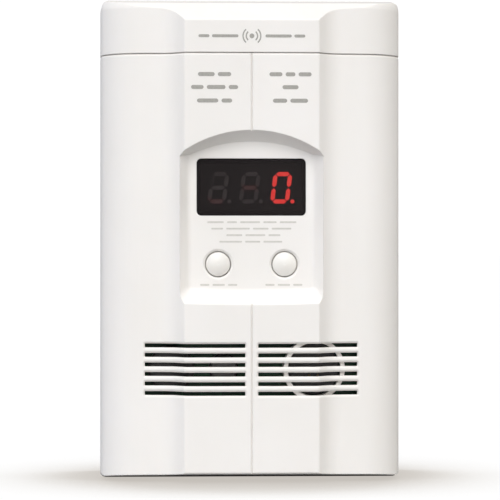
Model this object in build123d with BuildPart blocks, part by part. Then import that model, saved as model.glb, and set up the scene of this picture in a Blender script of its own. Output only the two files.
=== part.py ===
from build123d import *
import os
from math import atan2, cos, degrees, radians, sin, tan

os.makedirs("parts", exist_ok=True)

# Plug-in carbon monoxide and gas alarm, millimetres.
# Frame: +X to the right seen from the front, +Z up, the front looks along -Y.
# Origin: the middle of the flat wall face. d is a depth behind the front plateau.

# ---------------------------------------------------------------- driving dimensions
height = 152.4          # overall, along Z
width = 95.25           # overall, along X
depth = 44.45           # front plateau to wall face, along Y
wall = 2.0              # moulded wall thickness
fit_gap = 0.1           # half of a moulded seam

plateau_half = 21.0     # flat centre of the front
slope_foot = (25.0, 4.3)        # x, d where the plateau's slope meets the side pillar
pillar_end = (35.0, 5.1)        # x, d where the pillar starts to round over
shoulder = (46.33, 12.4)        # x, d on the rounded shoulder
side_start = (47.28, 15.9)      # x, d where the side becomes almost flat
part_d = 22.0           # depth of the line where front and back covers meet
back_half = 46.9        # half width at the wall face

bevel_foot_z = 68.0     # where the top bevel starts on the plateau
bevel_end = (7.0, 73.8)         # d, z where the bevel meets the drafted top
top_flat_d = 23.7       # depth where the drafted top reaches full height
front_low_z = -73.25    # bottom edge at the plateau
back_low_z = -75.8      # bottom edge at the wall face
top_corner_r = 2.85
bottom_corner_r = 1.9
crown_foot_z = 71.2     # height where the shoulders begin to round over
crown_rise = 5.0
crown_run = 2.9
foot_r = 8.0            # hollow between the plateau's slope and the side pillar

seam_z = 57.7           # seam between body and battery door
seam_gap = 0.05         # half of that seam
seam_chamfer = 0.6

hinge_r = 4.5           # outside radius of the door's barrel
hinge_y = -hinge_r
hinge_z = height / 2 - hinge_r
peg_r = 1.5
peg_clear = 0.06
ear_in, ear_out = 37.5, 41.0    # x range of the hinge ears

pocket_depth = 4.9      # recessed panel round display and buttons
pocket_half = 23.6      # at the plateau plane
pocket_spring = 25.3
pocket_apex = 33.6
pocket_bottom = -20.8
pocket_sag = 0.5        # bow of the bottom edge
pocket_rake = 0.837     # inward run of the side and bottom walls per mm of depth
apex_rake = 0.68        # the same for the top of the arch
spring_rise = 0.18      # rise of the arch's ends per mm of depth
ledge_r = 2.0           # soft corner between the panel and the bottom ledge
pocket_corner = 3.0

window_w, window_h, window_z = 33.9, 17.6, 15.97
window_r = 1.35

digit_pitch = 9.9
digit_h = 9.9
digit_w = 5.9
digit_stroke = 1.3
digit_gap = 0.18
digit_slant = 7.0
digit_z = 15.85
digit_shift = -0.38     # the digits sit a little left of the window's middle

button_x, button_z = 10.4, -8.16
button_r = 3.8
button_hole_r = 4.1
button_dish_r = 5.0
button_travel = 0.5

slot_in, slot_out = 2.0, 33.3
slot_h = 1.27
slot_pitch = 2.98
slot_top_z = -33.5      # centre of the uppermost slot
slot_rows = 6
slot_lip = 0.5

horn_x, horn_z = 19.7, -41.0
horn_ring_out, horn_ring_in = 9.75, 8.4

board_d0, board_t = 14.6, 1.6
board_half = 41.0
board_low, board_high = -61.0, 41.0

case_bosses = [(-39.5, 47.0), (39.5, 47.0), (-39.5, -67.0), (39.5, -67.0)]
board_posts = [(-37.0, 36.0), (37.0, 36.0), (-37.0, -56.0), (37.0, -56.0)]

bay_half = 29.4
bay_low, bay_high = 4.6, 48.4
bay_floor_y = -24.2
bay_wall = 1.8

keyhole_x, keyhole_z = 38.0, 28.0
keyhole_r = 4.0
keyhole_slot_r = 2.0
keyhole_rise = 7.0

adapter_half = 29.0
adapter_low, adapter_high = 5.0, 48.0
adapter_in_y = -23.8
adapter_lid_y = -2.3
adapter_out_y = -0.3
blade_pitch = 12.7
blade_w, blade_t, blade_reach = 6.35, 1.5, 16.7
blade_z = 26.5

battery_len, battery_w, battery_h = 46.0, 26.5, 17.5
battery_x0 = -24.5      # end of the battery's case
battery_y0 = -36.1      # front of the battery's case
battery_z0 = 53.0       # underside of the battery


def yd(d):
    """Y of a point d behind the front plateau."""
    return d - depth


board_front = yd(board_d0)
board_back = yd(board_d0 + board_t)
part_y = yd(part_d)


def inset_polygon(points, inset):
    """Corners of a convex outline, listed clockwise, with every side moved in by inset."""
    if not inset:
        return points
    count = len(points)
    lines = []
    for i in range(count):
        (x0, y0), (x1, y1) = points[i], points[(i + 1) % count]
        length = ((x1 - x0) ** 2 + (y1 - y0) ** 2) ** 0.5
        nx, ny = (y1 - y0) / length, -(x1 - x0) / length
        lines.append((nx, ny, nx * x0 + ny * y0 + inset))
    moved = []
    for i in range(count):
        a, b = lines[i - 1], lines[i]
        det = a[0] * b[1] - a[1] * b[0]
        moved.append(
            ((a[2] * b[1] - a[1] * b[2]) / det, (a[0] * b[2] - a[2] * b[0]) / det)
        )
    return moved


def shifted(point, angle, inset):
    """A point of the section moved inwards, square to the outline's direction there."""
    return (point[0] - sin(radians(angle)) * inset, point[1] + cos(radians(angle)) * inset)


def meeting(p0, angle0, p1, angle1):
    """Where two lines meet, each given by a point and a direction in degrees."""
    c0, s0 = cos(radians(angle0)), sin(radians(angle0))
    c1, s1 = cos(radians(angle1)), sin(radians(angle1))
    t = ((p1[0] - p0[0]) * s1 - (p1[1] - p0[1]) * c1) / (c0 * s1 - s0 * c1)
    return (p0[0] + t * c0, p0[1] + t * s0)


def heading(p0, p1):
    return degrees(atan2(p1[1] - p0[1], p1[0] - p0[0]))


def section_points(inset):
    """Corners of the right half of the horizontal section, every wall moved in by inset."""
    edge, widest, rear = (plateau_half, 0.0), (width / 2, part_d), (back_half, depth)
    slope_dir = heading(edge, slope_foot)
    pillar_dir = heading(slope_foot, pillar_end)
    shoulder_dir = 2 * heading(pillar_end, shoulder) - pillar_dir
    side_end_dir = 2 * heading(shoulder, side_start) - shoulder_dir
    side_dir = heading(side_start, widest)
    rear_dir = heading(widest, rear)
    found = {
        "middle": (0.0, inset),
        "edge": meeting((0, inset), 0, shifted(edge, slope_dir, inset), slope_dir),
        "foot": meeting(
            shifted(slope_foot, slope_dir, inset),
            slope_dir,
            shifted(slope_foot, pillar_dir, inset),
            pillar_dir,
        ),
        "pillar": shifted(pillar_end, pillar_dir, inset),
        "shoulder": shifted(shoulder, shoulder_dir, inset),
        "side": shifted(side_start, side_end_dir, inset),
        "widest": meeting(
            shifted(side_start, side_end_dir, inset),
            side_dir,
            shifted(widest, rear_dir, inset),
            rear_dir,
        ),
        "rear": meeting(shifted(rear, rear_dir, inset), rear_dir, (0, depth - inset), 0),
        "rear_middle": (0.0, depth - inset),
    }
    return {name: (x, yd(d)) for name, (x, d) in found.items()}


# side view corners, clockwise seen from +X: Y, Z
flank_points = [
    (0, height / 2),
    (0, back_low_z),
    (part_y, -height / 2),
    (yd(0), front_low_z),
    (yd(0), bevel_foot_z),
    (yd(bevel_end[0]), bevel_end[1]),
    (yd(top_flat_d), height / 2),
]


# ---------------------------------------------------------------- construction solids
def corner_frame():
    """Front view drawn at several depths, with rounded corners that follow the body's draft."""
    rise = (height / 2 - bevel_end[1]) / (top_flat_d - bevel_end[0])
    fall = (height / 2 + front_low_z) / part_d
    back_rise = (back_low_z + height / 2) / (depth - part_d)
    clear = 0.1
    with BuildPart() as frame_view:
        for d, half in (
            (-2.0, side_start[0] + clear),
            (side_start[1], side_start[0] + clear),
            (part_d, width / 2 + clear),
            (top_flat_d, width / 2 + clear),
            (depth + 2.0, back_half + clear),
        ):
            high = min(bevel_end[1] + rise * (d - bevel_end[0]), height / 2)
            low = front_low_z - fall * d if d <= part_d else -height / 2 + back_rise * (d - part_d)
            with BuildSketch(Plane.XZ.offset(depth - d)) as view:
                with Locations((0, (high + low) / 2)):
                    Rectangle(2 * half, high - low)
                fillet(view.vertices().group_by(Axis.Y)[-1], radius=top_corner_r)
                fillet(view.vertices().group_by(Axis.Y)[0], radius=bottom_corner_r)
        loft(ruled=True)
    return frame_view.part


def crown():
    """Room the body may fill: its plan outline, drawn in towards the top at the shoulders."""
    with BuildPart() as room:
        for z in (crown_foot_z - 0.3, 72.0, 72.9, 73.8, 74.6, 75.3, 76.0, height / 2 + 0.1):
            rise = min(max(z - crown_foot_z, 0.0) / crown_rise, 0.99)
            inset = crown_run * (1 - (1 - rise**2) ** 0.5) - 0.03
            p = section_points(inset)
            with BuildSketch(Plane.XY.offset(z)):
                with BuildLine():
                    Polyline((0, yd(-3)), (30, yd(-3)), p["pillar"])
                    round_a = TangentArc(
                        p["pillar"],
                        p["shoulder"],
                        tangent=(pillar_end[0] - slope_foot[0], pillar_end[1] - slope_foot[1]),
                    )
                    TangentArc(round_a @ 1, p["side"], tangent=round_a % 1)
                    Polyline(p["side"], p["widest"], (p["rear"][0], 2.0), (0, 2.0))
                    mirror(about=Plane.YZ)
                make_face()
        loft(ruled=True)
        with Locations((0, 0, crown_foot_z - 0.3)):
            Box(
                2 * width,
                4 * depth,
                2 * height,
                align=(Align.CENTER, Align.CENTER, Align.MAX),
            )
    return room.part


def envelope(inset):
    """The alarm's outer body, or the same body with every wall moved in by inset."""
    limits = () if inset else (corner_frame(), crown())
    with BuildPart() as env:
        # horizontal section, the same at every height
        with BuildSketch(Plane.XY.offset(-height / 2 - 2)) as section:
            p = section_points(inset)
            with BuildLine():
                Polyline(p["middle"], p["edge"], p["foot"], p["pillar"])
                round_a = TangentArc(
                    p["pillar"],
                    p["shoulder"],
                    tangent=(p["pillar"][0] - p["foot"][0], p["pillar"][1] - p["foot"][1]),
                )
                TangentArc(round_a @ 1, p["side"], tangent=round_a % 1)
                Polyline(p["side"], p["widest"], p["rear"], p["rear_middle"])
                mirror(about=Plane.YZ)
            make_face()
            if not inset:
                plateau_edges = section.vertices().filter_by(
                    lambda v: abs(abs(v.X) - plateau_half) < 0.01 and abs(v.Y - yd(0)) < 0.01
                )
                fillet(plateau_edges, radius=0.9)
                feet = section.vertices().filter_by(
                    lambda v: abs(abs(v.X) - slope_foot[0]) < 0.01
                    and abs(v.Y - yd(slope_foot[1])) < 0.01
                )
                fillet(feet, radius=foot_r)
                backs = section.vertices().filter_by(
                    lambda v: abs(abs(v.X) - back_half) < 0.01 and abs(v.Y) < 0.01
                )
                fillet(backs, radius=1.0)
        extrude(amount=height + 4)
        # side view: bevel, draft and the round over the hinge
        with BuildSketch(Plane.YZ.offset(-width)) as flank:
            with BuildLine():
                Polyline(*inset_polygon(flank_points, inset), close=True)
            make_face()
            top_rear = flank.vertices().filter_by(
                lambda v: abs(v.X + inset) < 0.01 and abs(v.Y - height / 2 + inset) < 0.01
            )
            fillet(top_rear, radius=hinge_r - inset)
            if not inset:
                soft = flank.vertices().filter_by(
                    lambda v: abs(v.X - yd(0)) < 0.01 and abs(v.Y - bevel_foot_z) < 0.01
                )
                fillet(soft, radius=0.8)
                low = flank.vertices().filter_by(
                    lambda v: abs(v.X - yd(0)) < 0.01 and abs(v.Y - front_low_z) < 0.01
                )
                fillet(low, radius=0.7)
                brow = flank.vertices().filter_by(
                    lambda v: abs(v.X - yd(bevel_end[0])) < 0.01
                )
                fillet(brow, radius=0.8)
        extrude(amount=2 * width, mode=Mode.INTERSECT)
        # front view: rounded corners
        if inset:
            with BuildSketch(Plane.XZ.offset(-1)) as front:
                Rectangle(width - 2 * inset, height - 2 * inset)
                fillet(front.vertices(), radius=max(top_corner_r - inset, 0.4))
            extrude(amount=depth + 2, mode=Mode.INTERSECT)
        else:
            for limit in limits:
                add(limit, mode=Mode.INTERSECT)
    return env.part


outer = envelope(0)
cavity = envelope(wall)


def pocket_face(d, grow=0.0):
    """Outline of the display panel's recess at depth d, grown outwards by grow."""
    half = pocket_half - pocket_rake * d + grow
    spring = pocket_spring + spring_rise * d + 0.4 * grow
    apex = pocket_apex - apex_rake * d + grow
    low = pocket_bottom + pocket_rake * d - grow
    r = pocket_corner - 0.3 * d + 0.5 * grow
    with BuildLine() as rim:
        base = ThreePointArc((-half, low + pocket_sag), (0, low), (half, low + pocket_sag))
        up = Line(base @ 1, (half, spring))
        arch = ThreePointArc(up @ 1, (0, apex), (-half, spring))
        Line(arch @ 1, base @ 0)
    face = make_face(rim.edges())
    fillet(face.vertices().group_by(Axis.Y)[0], radius=r)


with BuildPart() as pocket:
    with BuildSketch(Plane.XZ.offset(depth + 1)):
        pocket_face(-1.0)
    with BuildSketch(Plane.XZ.offset(depth - pocket_depth)):
        pocket_face(pocket_depth)
    loft(ruled=True)
    floor_face = pocket.faces().sort_by(Axis.Y)[-1]
    soft_rim = floor_face.edges().filter_by(lambda e: (e @ 0.5).Z < pocket_spring)
    fillet(soft_rim, radius=ledge_r)

with BuildPart() as pocket_back:
    with BuildSketch(Plane.XZ.offset(depth - 0.5)):
        pocket_face(0.5, 2.6)
    with BuildSketch(Plane.XZ.offset(depth - pocket_depth - wall)):
        pocket_face(pocket_depth + wall, 2.6)
    loft(ruled=True)
    add(outer, mode=Mode.INTERSECT)

# screw bosses and board posts of the front cover, trimmed to the outer skin
with BuildPart() as front_posts:
    with BuildSketch(Plane.XZ.offset(-part_y + 0.05)):
        with Locations(*case_bosses):
            Circle(4.0)
    extrude(amount=30)
    with BuildSketch(Plane.XZ.offset(-board_front)):
        with Locations(*board_posts):
            Circle(2.8)
    extrude(amount=20)
    add(outer, mode=Mode.INTERSECT)

# ring behind the right-hand slots that closes round the horn
with BuildPart() as horn_ring:
    with BuildSketch(Plane.XZ.offset(depth - 9.6)):
        with Locations((horn_x, horn_z)):
            Circle(horn_ring_out)
            Circle(horn_ring_in, mode=Mode.SUBTRACT)
    extrude(amount=10)
    add(cavity, mode=Mode.INTERSECT)


def is_at(value, target, tol=0.01):
    return abs(value - target) < tol


# ---------------------------------------------------------------- front cover
with BuildPart() as front_cover:
    add(outer)
    with BuildSketch(Plane.YZ.offset(-width)):
        with BuildLine():
            Polyline(
                (-60, -90),
                (part_y - 0.05, -90),
                (part_y - 0.05, seam_z - seam_gap),
                (-60, seam_z - seam_gap),
                close=True,
            )
        make_face()
    extrude(amount=2 * width, mode=Mode.INTERSECT)
    top_rim = front_cover.edges().filter_by(
        lambda e: is_at((e @ 0.5).Z, seam_z - seam_gap) and (e @ 0.5).Y < part_y - 0.2
    )
    chamfer(top_rim, length=seam_chamfer)
    add(cavity, mode=Mode.SUBTRACT)
    add(pocket_back.part)
    add(pocket.part, mode=Mode.SUBTRACT)

    # centre groove of the plateau
    with BuildSketch(Plane.XY.offset(-height / 2 - 1)):
        with BuildLine():
            Polyline(
                (-0.32, yd(-0.1)), (0.32, yd(-0.1)), (0.12, yd(0.5)), (-0.12, yd(0.5)), close=True
            )
        make_face()
    extrude(amount=height, mode=Mode.SUBTRACT)

    # sounding and sensing slots, each with a chamfered lower lip
    slot_mid = (slot_in + slot_out) / 2
    with BuildSketch(Plane.XZ.offset(depth + 1)) as slots:
        for row in range(slot_rows):
            with Locations(
                (-slot_mid, slot_top_z - row * slot_pitch),
                (slot_mid, slot_top_z - row * slot_pitch),
            ):
                RectangleRounded(slot_out - slot_in, slot_h, 0.25)
    extrude(amount=-12, mode=Mode.SUBTRACT)
    slot_floors = [slot_top_z - row * slot_pitch - slot_h / 2 for row in range(slot_rows)]
    lips = front_cover.edges().filter_by(
        lambda e: any(is_at((e @ 0.5).Z, z, 0.001) for z in slot_floors)
        and slot_in + 0.1 < abs((e @ 0.5).X) < slot_out - 0.1
        and min(skin.distance_to(e @ 0.5) for skin in outer.faces()) < 0.001
    )
    chamfer(lips, length=slot_lip)

    # display opening with a rebate behind for the window's flange
    with BuildSketch(Plane.XZ.offset(depth + 1)):
        with Locations((0, window_z)):
            RectangleRounded(window_w + 0.3, window_h + 0.3, window_r + 0.15)
    extrude(amount=-10, mode=Mode.SUBTRACT)
    with BuildSketch(Plane.XZ.offset(depth - pocket_depth - 1.2)):
        with Locations((0, window_z)):
            RectangleRounded(window_w + 2.8, window_h + 2.8, window_r + 1.2)
    extrude(amount=-4, mode=Mode.SUBTRACT)

    # button holes in shallow dishes
    with Locations(
        Plane.XZ.offset(depth - pocket_depth) * Location((-button_x, button_z)),
        Plane.XZ.offset(depth - pocket_depth) * Location((button_x, button_z)),
    ):
        Cylinder(button_hole_r, 12, mode=Mode.SUBTRACT)
        Cone(
            button_hole_r,
            button_dish_r + 0.45,
            1.0,
            align=(Align.CENTER, Align.CENTER, Align.CENTER),
            mode=Mode.SUBTRACT,
        )

    add(front_posts.part)
    add(horn_ring.part)
    with BuildSketch(Plane.XZ.offset(-part_y)):
        with Locations(*case_bosses):
            Circle(1.53)
    extrude(amount=9.6, mode=Mode.SUBTRACT)
    with BuildSketch(Plane.XZ.offset(-board_front)):
        with Locations(*board_posts):
            Circle(1.03)
    extrude(amount=5.6, mode=Mode.SUBTRACT)

front_cover.part.label = "front_cover"
export_step(front_cover.part, "parts/front_cover.step")

# ---------------------------------------------------------------- back cover
with BuildPart() as back_cover:
    add(outer)
    with BuildSketch(Plane.YZ.offset(-width)):
        with BuildLine():
            Polyline(
                (part_y + 0.05, -90),
                (5, -90),
                (5, hinge_z - hinge_r - 0.3),
                (hinge_y + 0.1, hinge_z - hinge_r - 0.3),
                (hinge_y + 0.1, seam_z - seam_gap),
                (part_y + 0.05, seam_z - seam_gap),
                close=True,
            )
        make_face()
    extrude(amount=2 * width, mode=Mode.INTERSECT)
    side_rims = back_cover.edges().filter_by(
        lambda e: is_at((e @ 0.5).Z, seam_z - seam_gap) and abs((e @ 0.5).X) > 40
    )
    chamfer(side_rims, length=seam_chamfer)
    add(cavity, mode=Mode.SUBTRACT)

    # bay for the plug-in adapter
    with BuildSketch(Plane.XZ.offset(0.5)):
        with Locations((0, (bay_low + bay_high) / 2)):
            RectangleRounded(
                2 * (bay_half + bay_wall), bay_high - bay_low + 2 * bay_wall, 3.8
            )
    extrude(amount=-bay_floor_y + bay_wall - 0.5)
    with BuildSketch(Plane.XZ.offset(-1)):
        with Locations((0, (bay_low + bay_high) / 2)):
            RectangleRounded(2 * bay_half, bay_high - bay_low, 2.0)
    extrude(amount=-bay_floor_y + 1, mode=Mode.SUBTRACT)
    with BuildSketch(Plane.XZ.offset(-bay_floor_y - 1)):
        with Locations((-4, 12), (4, 12)):
            Circle(1.4)
    extrude(amount=6, mode=Mode.SUBTRACT)

    # wells for the case screws
    with BuildSketch(Plane.XZ.offset(0.5)):
        with Locations(*case_bosses):
            Circle(4.6)
    extrude(amount=-part_y - 0.5)
    with BuildSketch(Plane.XZ.offset(-1)):
        with Locations(*case_bosses):
            Circle(3.4)
    extrude(amount=18.5, mode=Mode.SUBTRACT)
    with BuildSketch(Plane.XZ):
        with Locations(*case_bosses):
            Circle(1.75)
    extrude(amount=-part_y + 1, mode=Mode.SUBTRACT)

    # keyholes for hanging on two wall screws
    with BuildSketch(Plane.XZ.offset(-1)):
        with Locations((-keyhole_x, keyhole_z), (keyhole_x, keyhole_z)):
            Circle(keyhole_r)
        with Locations(
            (-keyhole_x, keyhole_z + keyhole_rise / 2), (keyhole_x, keyhole_z + keyhole_rise / 2)
        ):
            Rectangle(2 * keyhole_slot_r, keyhole_rise)
        with Locations((-keyhole_x, keyhole_z + keyhole_rise), (keyhole_x, keyhole_z + keyhole_rise)):
            Circle(keyhole_slot_r)
    extrude(amount=wall + 2, mode=Mode.SUBTRACT)

    # hinge ears on the rear wall
    for x0 in (-ear_out, ear_in):
        with BuildSketch(Plane.YZ.offset(x0)):
            with Locations((hinge_y, hinge_z)):
                Circle(hinge_r - 0.2)
            with BuildLine():
                Polyline(
                    (hinge_y - hinge_r + 0.2, hinge_z),
                    (hinge_y + hinge_r - 0.2, hinge_z),
                    (hinge_y + hinge_r - 0.2, 60),
                    (-wall - 0.5, 60),
                    (hinge_y - hinge_r + 0.2, hinge_z - 5),
                    close=True,
                )
            make_face()
            with Locations((hinge_y, hinge_z)):
                Circle(peg_r + peg_clear, mode=Mode.SUBTRACT)
        extrude(amount=ear_out - ear_in)

back_cover.part.label = "back_cover"
export_step(back_cover.part, "parts/back_cover.step")

# ---------------------------------------------------------------- battery door
with BuildPart() as battery_door:
    add(outer)
    add(cavity, mode=Mode.SUBTRACT)
    with BuildSketch(Plane.YZ.offset(-width)):
        with BuildLine():
            Polyline(
                (-60, seam_z + seam_gap),
                (hinge_y - 0.1, seam_z + seam_gap),
                (hinge_y - 0.1, hinge_z),
                (5, hinge_z),
                (5, 90),
                (-60, 90),
                close=True,
            )
        make_face()
    extrude(amount=2 * width, mode=Mode.INTERSECT)
    # barrel along the hinge line
    with BuildSketch(Plane.YZ.offset(-width / 2 + 3.4)):
        with Locations((hinge_y, hinge_z)):
            Circle(hinge_r)
    extrude(amount=width - 6.8)
    with BuildSketch(Plane.YZ.offset(-ear_in + 2.5)):
        with Locations((hinge_y, hinge_z)):
            Circle(hinge_r - wall)
    extrude(amount=2 * ear_in - 5.0, mode=Mode.SUBTRACT)
    # room for the ears
    for x0 in (-ear_out - 0.25, ear_in - 0.25):
        with BuildSketch(Plane.YZ.offset(x0)):
            with Locations((hinge_y, hinge_z)):
                Circle(hinge_r + 0.3)
        extrude(amount=ear_out - ear_in + 0.5, mode=Mode.SUBTRACT)
    # pegs that turn in the ears
    for x0 in (-ear_out - 0.5, ear_in + 0.5):
        with BuildSketch(Plane.YZ.offset(x0)):
            with Locations((hinge_y, hinge_z)):
                Circle(peg_r)
        extrude(amount=ear_out - ear_in)

battery_door.part.label = "battery_door"
export_step(battery_door.part, "parts/battery_door.step")

# ---------------------------------------------------------------- battery tray
tray_y0, tray_y1 = battery_y0 - 0.4, battery_y0 + battery_w + 0.4
tray_x0, tray_x1 = battery_x0 - 0.4, 28.0
with BuildPart() as battery_tray:
    add(envelope(wall + 0.25))
    with BuildSketch(Plane.YZ.offset(-width)):
        with BuildLine():
            Polyline(
                (yd(0), 56.0),
                (-wall - 0.25, 56.0),
                (-wall - 0.25, 57.6),
                (yd(0), 57.6),
                close=True,
            )
        make_face()
    extrude(amount=2 * width, mode=Mode.INTERSECT)
    with Locations(((tray_x0 + tray_x1) / 2, (tray_y0 + tray_y1) / 2, 51.5)):
        Box(
            tray_x1 - tray_x0 + 2.0,
            tray_y1 - tray_y0 + 2.0,
            6.1,
            align=(Align.CENTER, Align.CENTER, Align.MIN),
        )
    with Locations(((tray_x0 + tray_x1) / 2, (tray_y0 + tray_y1) / 2, battery_z0)):
        Box(
            tray_x1 - tray_x0,
            tray_y1 - tray_y0,
            10,
            align=(Align.CENTER, Align.CENTER, Align.MIN),
            mode=Mode.SUBTRACT,
        )
    # passage for the two leads
    with Locations((33.5, -22.0, 56.8)):
        Box(4.5, 12.0, 4, mode=Mode.SUBTRACT)
    with Locations((0, hinge_y, hinge_z)):
        Cylinder(hinge_r + 0.3, 2 * width, rotation=(0, 90, 0), mode=Mode.SUBTRACT)

battery_tray.part.label = "battery_tray"
export_step(battery_tray.part, "parts/battery_tray.step")

# ---------------------------------------------------------------- battery and its contacts
term_x = battery_x0 + battery_len
term_z = battery_z0 + battery_h / 2
pos_y = battery_y0 + battery_w / 2 - 6.35
neg_y = battery_y0 + battery_w / 2 + 6.35

with BuildPart() as battery_case:
    with BuildSketch(Plane.YZ.offset(battery_x0)):
        with Locations((battery_y0 + battery_w / 2, term_z)):
            RectangleRounded(battery_w, battery_h, 2.4)
    extrude(amount=battery_len)
    ends = battery_case.edges().filter_by(
        lambda e: is_at((e @ 0.5).X, battery_x0) or is_at((e @ 0.5).X, term_x)
    )
    fillet(ends, radius=0.8)
battery_case.part.label = "battery_case"
export_step(battery_case.part, "parts/battery_case.step")

with BuildPart() as battery_terminals:
    with BuildSketch(Plane.YZ.offset(term_x)):
        with Locations((pos_y, term_z)):
            Circle(2.85)
        with Locations((neg_y, term_z)):
            RegularPolygon(4.3, 6)
            Circle(3.2, mode=Mode.SUBTRACT)
    extrude(amount=2.5)
battery_terminals.part.label = "battery_terminals"
export_step(battery_terminals.part, "parts/battery_terminals.step")

with BuildPart() as battery_contacts:
    with BuildSketch(Plane.YZ.offset(term_x + 0.4)):
        with Locations((pos_y, term_z)):
            RegularPolygon(4.3, 6)
            Circle(2.95, mode=Mode.SUBTRACT)
        with Locations((neg_y, term_z)):
            Circle(3.0)
    extrude(amount=2.6)
battery_contacts.part.label = "battery_contacts"
export_step(battery_contacts.part, "parts/battery_contacts.step")

block_x = term_x + 3.0
with BuildPart() as contact_block:
    with BuildSketch(Plane.YZ.offset(block_x)):
        with Locations((battery_y0 + battery_w / 2, term_z - 0.4)):
            RectangleRounded(24.5, 16.0, 2.0)
    extrude(amount=2.2)
    back_face = contact_block.faces().sort_by(Axis.X)[-1]
    chamfer(back_face.edges(), length=0.5)
contact_block.part.label = "contact_block"
export_step(contact_block.part, "parts/contact_block.step")

lead_r = 0.75
lead_start_x = block_x + 2.2


def lead_route(start_y, pass_y, pad_x, pad_z):
    """Corner points of one lead, from the contact block to the back of the board."""
    return [
        (lead_start_x, start_y, term_z),
        (pad_x, start_y, term_z),
        (pad_x, pass_y, 56.8),
        (pad_x, pass_y + 0.5, 46.0),
        (pad_x, board_back + 4.5, pad_z),
        (pad_x, board_back, pad_z),
    ]


lead_radii = (2.8, 5.0, 6.0, 1.9)
with BuildPart() as red_lead:
    with BuildLine() as red_path:
        FilletPolyline(*lead_route(pos_y, -24.5, 32.2, 36.5), radius=lead_radii)
    with BuildSketch(Plane(origin=red_path.line @ 0, z_dir=red_path.line % 0)):
        Circle(lead_r)
    sweep()
red_lead.part.label = "red_lead"
export_step(red_lead.part, "parts/red_lead.step")

with BuildPart() as black_lead:
    with BuildLine() as black_path:
        FilletPolyline(*lead_route(neg_y, -19.5, 33.9, 39.4), radius=lead_radii)
    with BuildSketch(Plane(origin=black_path.line @ 0, z_dir=black_path.line % 0)):
        Circle(lead_r)
    sweep()
black_lead.part.label = "black_lead"
export_step(black_lead.part, "parts/black_lead.step")

# ---------------------------------------------------------------- display
window_d = pocket_depth + 0.5
with BuildPart() as display_window:
    with BuildSketch(Plane.XZ.offset(depth - window_d)):
        with Locations((0, window_z)):
            RectangleRounded(window_w, window_h, window_r)
    extrude(amount=-(pocket_depth + 1.2 - window_d + 0.05))
    with BuildSketch(Plane.XZ.offset(depth - pocket_depth - 1.25)):
        with Locations((0, window_z)):
            RectangleRounded(window_w + 2.5, window_h + 2.5, window_r + 1.1)
    extrude(amount=-1.0)
    rim = display_window.faces().sort_by(Axis.Y)[0].edges()
    fillet(rim, radius=0.25)
display_window.part.label = "display_window"
export_step(display_window.part, "parts/display_window.step")

display_d = 7.8
with BuildPart() as led_display_body:
    with BuildSketch(Plane.XZ.offset(depth - display_d)):
        with Locations((0, window_z)):
            RectangleRounded(32.4, 15.2, 0.4)
    extrude(amount=-(board_d0 - display_d))
    rim = led_display_body.faces().sort_by(Axis.Y)[0].edges()
    chamfer(rim, length=0.3)
led_display_body.part.label = "led_display_body"
export_step(led_display_body.part, "parts/led_display_body.step")

with BuildPart() as display_gasket:
    with BuildSketch(Plane.XZ.offset(depth - 7.2)):
        with Locations((0, window_z)):
            RectangleRounded(36.2, 19.8, 1.5)
            RectangleRounded(32.7, 15.5, 0.6, mode=Mode.SUBTRACT)
    extrude(amount=-3.4)
display_gasket.part.label = "display_gasket"
export_step(display_gasket.part, "parts/display_gasket.step")

seg_half_w = (digit_w - digit_stroke) / 2
seg_half_h = (digit_h - digit_stroke) / 2
segment_ends = {
    "a": ((-seg_half_w, seg_half_h), (seg_half_w, seg_half_h)),
    "b": ((seg_half_w, seg_half_h), (seg_half_w, 0)),
    "c": ((seg_half_w, 0), (seg_half_w, -seg_half_h)),
    "d": ((-seg_half_w, -seg_half_h), (seg_half_w, -seg_half_h)),
    "e": ((-seg_half_w, 0), (-seg_half_w, -seg_half_h)),
    "f": ((-seg_half_w, seg_half_h), (-seg_half_w, 0)),
    "g": ((-seg_half_w, 0), (seg_half_w, 0)),
}


def segment_points(name, centre_x):
    """Six corners of one display segment, leaned over by the digit's slant."""
    (x0, z0), (x1, z1) = segment_ends[name]
    s = digit_stroke / 2
    g = digit_gap
    if is_at(z0, z1):
        raw = [
            (x0 + g, z0), (x0 + g + s, z0 + s), (x1 - g - s, z0 + s),
            (x1 - g, z0), (x1 - g - s, z0 - s), (x0 + g + s, z0 - s),
        ]
    else:
        raw = [
            (x0, z0 - g), (x0 + s, z0 - g - s), (x0 + s, z1 + g + s),
            (x0, z1 + g), (x0 - s, z1 + g + s), (x0 - s, z0 - g - s),
        ]
    lean = tan(radians(digit_slant))
    return [(centre_x + x + z * lean, digit_z + z) for x, z in raw]


dot_z = digit_z - digit_h / 2 + 0.65
with BuildPart() as unlit_segments:
    with BuildSketch(Plane.XZ.offset(depth - display_d)):
        for centre_x, names in (
            (digit_shift - digit_pitch, "abcdefg"),
            (digit_shift, "abcdefg"),
            (digit_shift + digit_pitch, "g"),
        ):
            for name in names:
                with BuildLine():
                    Polyline(*segment_points(name, centre_x), close=True)
                make_face()
        with Locations((digit_shift - digit_pitch + 3.5, dot_z), (digit_shift + 3.5, dot_z)):
            Circle(0.63)
    extrude(amount=0.2)
unlit_segments.part.label = "unlit_segments"
export_step(unlit_segments.part, "parts/unlit_segments.step")

with BuildPart() as lit_segments:
    with BuildSketch(Plane.XZ.offset(depth - display_d)):
        for name in "abcdef":
            with BuildLine():
                Polyline(*segment_points(name, digit_shift + digit_pitch), close=True)
            make_face()
        with Locations((digit_shift + digit_pitch + 3.5, dot_z)):
            Circle(0.63)
    extrude(amount=0.2)
lit_segments.part.label = "lit_segments"
export_step(lit_segments.part, "parts/lit_segments.step")

# ---------------------------------------------------------------- buttons and switches
dome_top_d = pocket_depth - 0.9
dome_r = 7.0            # spherical radius of the button's crown
flange_d = pocket_depth + wall + 0.05
stem_end_d = 9.4
switch_top_d = 11.1
plunger_r = 1.74


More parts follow.
